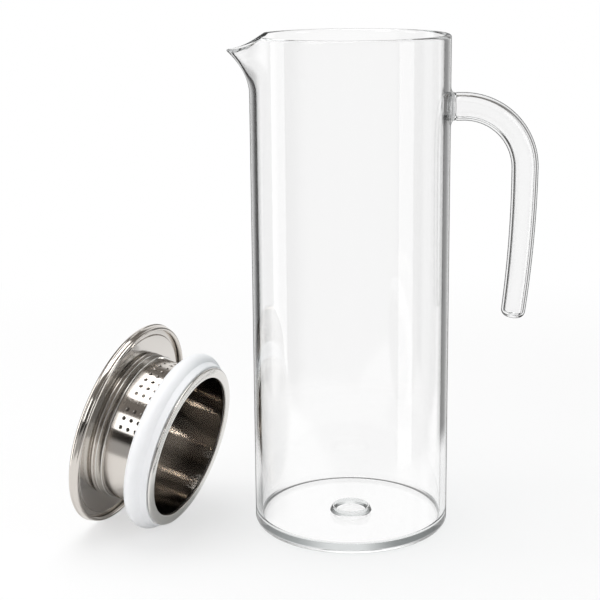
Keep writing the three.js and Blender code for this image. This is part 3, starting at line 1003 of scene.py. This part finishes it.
def steel(name, base, dull, roughness, anisotropy, scratch=0.12, stain=0.25):
    """Stainless steel with rings of fine scratches round the lid's axis and a faint uneven tint."""
    material, add = new_material(name)
    local, tangent = lid_coordinates(add)
    axes = add("ShaderNodeSeparateXYZ", None, local).outputs
    across = add("ShaderNodeCombineXYZ", X=axes["X"], Y=axes["Y"])
    radius = add(VECTOR_MATH, "LENGTH", across)
    rings = add("ShaderNodeCombineXYZ", X=radius, Y=axes["Z"])
    scratches = add(
        "ShaderNodeTexNoise", Vector=rings, Scale=1 / SCRATCH_PITCH, Detail=3.0, Roughness=0.6
    )
    patches = add("ShaderNodeTexNoise", Vector=local, Scale=1 / STAIN_SIZE, Detail=2.0)
    tint_share = add(MATH, "MULTIPLY", patches, stain)
    tint = add(MIX, COLOURS, tint_share, _6=linear(base), _7=linear(dull))
    # Inside the tube: the darker colour is painted shade, the lower roughness is the mill finish.
    inside = inside_tube(add, radius, axes["Z"])
    finish = add(MIX, COLOURS, inside, _6=tint, _7=linear(BORE_SHADE_COLOUR))
    low, high = [roughness * share for share in ROUGHNESS_SHARES]
    coarse = add(MAP_RANGE, None, scratches, SCRATCH_LOW, SCRATCH_HIGH, low, high)
    worn = add(MIX, None, inside, _2=coarse, _3=MILL_ROUGHNESS)
    bump = add("ShaderNodeBump", Height=scratches, Strength=scratch, Distance=SCRATCH_DEPTH)
    metal = add(
        "ShaderNodeBsdfPrincipled", Base_Color=finish, Metallic=1.0,
        Roughness=worn, Anisotropic=anisotropy, Anisotropic_Rotation=0.25,
        Tangent=tangent, Normal=bump,
    )
    add("ShaderNodeOutputMaterial", Surface=metal)
    return material


turned_steel = steel(
    "stainless steel, turned on a spindle", "#dcd7d1", "#beb2a6", roughness=0.16, anisotropy=0.75
)
bright_steel = steel(
    "stainless steel, burnished edge", "#e4e2de", "#cfcac3", roughness=0.12, anisotropy=0.4,
    scratch=0.05, stain=0.15,
)
sheet_steel = steel(
    "stainless steel, bright rolled sheet", "#dcd8d3", "#c3bcb5", roughness=0.14, anisotropy=0.3,
    scratch=0.06,
)
print("finishes:", turned_steel.name, "|", bright_steel.name, "|", sheet_steel.name)

# %% [markdown]
# ## White silicone
# The seal is moulded silicone rubber, cast in a polished tool and then cured: satin, a little
# translucent, and slightly bluish beside the warm steel. Light goes a millimetre or so into it
# and comes back, which softens the shading of the roll.

# %% Silicone
SILICONE_COLOURS = "#fafbfd", "#f4f5f8"
SILICONE_IOR = 1.41
CLOUD_SIZE = 9 * MM
SKIN_SIZE = 0.8 * MM
SKIN_DEPTH = 0.03 * MM
LIGHT_DEPTH = 1.2 * MM


def silicone_rubber():
    material, add = new_material("silicone rubber, moulded white")
    where = add("ShaderNodeTexCoord").outputs["Object"]
    cloud = add("ShaderNodeTexNoise", Vector=where, Scale=1 / CLOUD_SIZE, Detail=3.0)
    light, shade = [linear(colour) for colour in SILICONE_COLOURS]
    tint = add(MIX, COLOURS, cloud, _6=light, _7=shade)
    skin = add("ShaderNodeTexNoise", Vector=where, Scale=1 / SKIN_SIZE, Detail=2.0)
    bump = add("ShaderNodeBump", Height=skin, Strength=0.05, Distance=SKIN_DEPTH)
    rubber = add(
        "ShaderNodeBsdfPrincipled", Base_Color=tint, Roughness=0.5, IOR=SILICONE_IOR,
        Subsurface_Weight=0.25, Subsurface_Radius=(1.0, 1.0, 1.0), Subsurface_Scale=LIGHT_DEPTH,
        Normal=bump,
    )
    add("ShaderNodeOutputMaterial", Surface=rubber)
    return material


white_silicone = silicone_rubber()
print("finish:", white_silicone.name)

# %% [markdown]
# ## Seal and end ring
# The seal has a fat roll that presses on the glass and a narrow sleeve that passes under the end
# ring. The end ring is a flat washer with rounded edges, spun over the tube's end to keep the
# seal on. Both are turned from one outline.

# %% Seal and end ring
def seal_mesh():
    edge = seal_inner + SEAL_SLEEVE_THICKNESS - SEAL_SLEEVE_ROUND
    return turned("silicone_seal", [
        (seal_inner, tube_start),
        *arc(edge, tube_start + SEAL_SLEEVE_ROUND, SEAL_SLEEVE_ROUND, -QUARTER, 0, 6),
        *arc(seal_radius - SEAL_ROLL_RADIUS, roll_height, SEAL_ROLL_RADIUS,
             -SEAL_ROLL_MEET, QUARTER, 32),
        (seal_inner, roll_height + SEAL_ROLL_RADIUS),
    ], LID_SIDES)


def end_ring_mesh():
    lip = END_RING_THICKNESS / 2
    outer = tube_bore + END_RING_WIDTH
    return turned("spun_end_ring", [
        *arc(outer - lip, lip, lip, -QUARTER, QUARTER, 8),
        *arc(tube_bore + lip, lip, lip, QUARTER, 3 * QUARTER, 8),
    ], LID_SIDES)


def lay_down(mesh, material):
    """Puts a piece of the lid, made upright, where the lid lies."""
    mesh.transform(lid_matrix)
    return add_object(smoothed(mesh), material)


seal = lay_down(seal_mesh(), white_silicone)
end_ring = lay_down(end_ring_mesh(), bright_steel)
print("seal and end ring made")

# %% [markdown]
# ## Perforated tube
# The holes are punched in straight rows along the tube before it is rolled up. A tree of Geometry
# Nodes repeats that: it counts through rows and columns, places a round punch at each, turns it
# to look outwards, and takes all the punches from the wall with a Boolean. Edges sharper than the
# tree's angle are left sharp, so the round wall stays smooth beside the holes.

# %% Punching tree
HOLES = {
    "Hole Radius": 1.05 * MM,
    "Rows": 3,
    "Columns": 15,
    "Row Pitch": 4.1 * MM,
    "Column Angle": math.radians(7.1),
    "Start Angle": math.radians(-68),
    "First Height": COLLAR_HEIGHT - 5.1 * MM,
    "Tube Radius": tube_radius - TUBE_WALL / 2,
    "Punch Length": TUBE_WALL * 4,
}
PUNCH_SIDES = 20


def placed_punches(add, given):
    """Round punches in rows along the tube and columns round it, each looking outwards."""
    count = add(MATH, "MULTIPLY", given["Rows"], given["Columns"])
    points = add("GeometryNodePoints", None, count)
    index = add("GeometryNodeInputIndex")
    column = add(MATH, "FLOOR", add(MATH, "DIVIDE", index, given["Rows"]))
    row = add(MATH, "MODULO", index, given["Rows"])
    turn = add(MATH, "MULTIPLY", column, given["Column Angle"])
    angle = add(MATH, "ADD", given["Start Angle"], turn)
    down = add(MATH, "MULTIPLY", row, given["Row Pitch"])
    height = add(MATH, "SUBTRACT", given["First Height"], down)
    waves = [add(MATH, wave, angle) for wave in ("COSINE", "SINE")]
    x, y = [add(MATH, "MULTIPLY", wave, given["Tube Radius"]) for wave in waves]
    place = add("ShaderNodeCombineXYZ", None, x, y, height)
    placed = add("GeometryNodeSetPosition", Geometry=points, Position=place)
    punch = add(
        "GeometryNodeMeshCylinder", {"fill_type": "NGON"}, Vertices=PUNCH_SIDES,
        Radius=given["Hole Radius"], Depth=given["Punch Length"],
    )
    outwards = add("ShaderNodeCombineXYZ", Y=QUARTER, Z=angle)
    return add("GeometryNodeInstanceOnPoints", Points=placed, Instance=punch, Rotation=outwards)


def punching_tree(material):
    kinds = {n: "NodeSocketInt" if isinstance(v, int) else "NodeSocketFloat" for n, v in HOLES.items()}
    tree, add, given = new_tree("punch the strainer holes", kinds)
    punches = add("GeometryNodeRealizeInstances", None, placed_punches(add, given))
    taking_away = {"operation": "DIFFERENCE", "solver": "EXACT"}
    cut = add("GeometryNodeMeshBoolean", taking_away, Mesh_1=given["Geometry"], Mesh_2=punches)
    bend = add("GeometryNodeInputMeshEdgeAngle").outputs["Unsigned Angle"]
    sharp = add(MATH, "GREATER_THAN", bend, SHARP_ANGLE)
    smooth = add("GeometryNodeSetShadeSmooth", Geometry=cut, Shade_Smooth=True)
    edged = add(
        "GeometryNodeSetShadeSmooth", {"domain": "EDGE"},
        Geometry=smooth, Selection=sharp, Shade_Smooth=False,
    )
    end_tree(add, edged, material)
    return tree


TUBE_LEVELS = 12


def plain_tube():
    length = tube_joint - tube_start
    heights = [tube_start + length * i / TUBE_LEVELS for i in range(TUBE_LEVELS + 1)]
    return turned("perforated_tube", [
        *((tube_radius, h) for h in heights),
        *((tube_bore, h) for h in reversed(heights)),
    ], LID_SIDES)


tube = add_object(plain_tube(), turned_steel)
apply_tree(tube, punching_tree(turned_steel), HOLES)
tube.data.transform(lid_matrix)
print("tube:", len(tube.data.polygons), "faces,", HOLES["Rows"] * HOLES["Columns"], "holes")

# %% [markdown]
# ## Collar, neck and plate
# The neck is a short sleeve with a turned flange, spot-welded under a plain plate. The collar is a
# thin band rolled over the joint of tube and neck, with a bead pressed round each edge. The plate
# has a flat flange and a middle that is pressed out by a small step.

# %% Collar, neck and plate
def collar_mesh():
    inner = tube_radius + TIGHT_SEAM
    outer = inner + COLLAR_WALL
    top = COLLAR_HEIGHT + COLLAR_LENGTH
    return turned("crimped_collar", [
        (inner, COLLAR_HEIGHT),
        *arc(outer, COLLAR_HEIGHT + COLLAR_BEAD, COLLAR_BEAD, -QUARTER, QUARTER, 8),
        *arc(outer, top - COLLAR_BEAD, COLLAR_BEAD, -QUARTER, QUARTER, 8),
        (inner, top),
    ], LID_SIDES)


def neck_mesh():
    top = plate_face - TIGHT_SEAM
    return turned("neck_sleeve", [
        (tube_bore, tube_joint),
        (tube_radius, tube_joint),
        *arc(tube_radius + NECK_FLANGE, top - NECK_FLANGE, NECK_FLANGE, math.pi, QUARTER, 8),
        (tube_bore, top),
    ], LID_SIDES)


def plate_mesh():
    edge = band_radius - CAP_SHEET - SEAM
    step_outer = edge - PLATE_FLANGE
    step_inner = step_outer - PLATE_STEP
    back = plate_height + PLATE_SHEET
    return turned("under_plate", [
        (0, plate_face),
        (tube_bore / 2, plate_face),
        *arc(step_inner, plate_face + PLATE_ROUND, PLATE_ROUND, -QUARTER, 0, 5),
        *arc(step_outer, plate_height - PLATE_ROUND, PLATE_ROUND, math.pi, QUARTER, 5),
        *arc(edge - PLATE_ROUND, plate_height + PLATE_ROUND, PLATE_ROUND, -QUARTER, 0, 5),
        (edge, back),
        (step_outer, back),
        (step_inner, plate_face + PLATE_SHEET),
        (0, plate_face + PLATE_SHEET),
    ], LID_SIDES)


collar = lay_down(collar_mesh(), bright_steel)
neck = lay_down(neck_mesh(), turned_steel)
plate = lay_down(plate_mesh(), sheet_steel)
print("collar, neck and plate made")

# %% [markdown]
# ## The cap
# The cap is drawn from one disc: a domed top, a rounded shoulder, a small step, the side band
# and a hem that is rolled inwards to a bead. Sheet keeps its thickness when it is drawn, so one
# function gives the cap's outline for a thickness: nought for the outside, and the sheet's for
# the inside. The hem joins the two.

# %% Cap
DOME_STEPS = 6


def cap_outline(sheet):
    """Outside of the cap from the middle of its top to the hem, less the sheet's thickness."""
    size = CAP_SHOULDER_RADIUS - sheet
    top = shoulder_height + size
    shares = [i / DOME_STEPS for i in range(DOME_STEPS)]
    return [
        *((shoulder_centre * s, top + CAP_DOME * (1 - s ** 2)) for s in shares),
        *arc(shoulder_centre, shoulder_height, size, QUARTER, 0, 12),
        (band_radius - sheet, band_top),
        (band_radius - sheet, hem_top),
    ]


def cap_mesh():
    return turned("drawn_cap", [
        *cap_outline(0),
        *arc(bead_centre, bead_height, HEM_BEAD_RADIUS, HEM_NOTCH, -3 * QUARTER, 20),
        *reversed(cap_outline(CAP_SHEET)),
    ], LID_SIDES)


cap = lay_down(cap_mesh(), turned_steel)
print("cap made")

# %% [markdown]
# ## A window in the tube
# A bright, narrow window far behind the object, low and to the right, draws the bright bands deep
# in the polished tube. Light linking keeps it off every other piece.

# %% Window
WINDOW_PLACE, WINDOW_AIM = (0.465, 0.70, -0.012), (-0.08, -0.01, 0.035)
WINDOW_WIDTH, WINDOW_HEIGHT = 0.13, 0.5
WINDOW_RADIANCE = 22

window = softbox(
    "window", WINDOW_PLACE, WINDOW_AIM, WINDOW_WIDTH, WINDOW_HEIGHT, WINDOW_RADIANCE
)
window_sees = bpy.data.collections.new("pieces that mirror the window")
window_sees.objects.link(tube)
window.light_linking.receiver_collection = window_sees

# %% [markdown]
# ## What each piece stands for
# Every piece rides on the body that carries it, so it moves with the joints, and the pieces of the
# construction that it stands for are hidden.

# %% Bodies, nodes and finishes
pieces = [
    (pitcher, "pitcher", ["glass_body", "handle_foot", "handle_tube"], "clear_glass"),
    (seal, "seal", ["seal_ring"], "white_silicone"),
    (end_ring, "lid", ["end_ring"], "bright_steel"),
    (tube, "lid", ["strainer_tube"], "brushed_steel"),
    (collar, "lid", ["crimp_collar"], "bright_steel"),
    (neck, "lid", ["neck_socket"], "brushed_steel"),
    (plate, "lid", ["cap_underplate"], "brushed_steel"),
    (cap, "lid", ["cap_shell"], "brushed_steel"),
]
for piece, body, nodes, slot in pieces:
    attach(piece, body)
    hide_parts(*nodes)
    print(piece.name, "rides on", body, "with", len(piece.data.polygons), "faces")
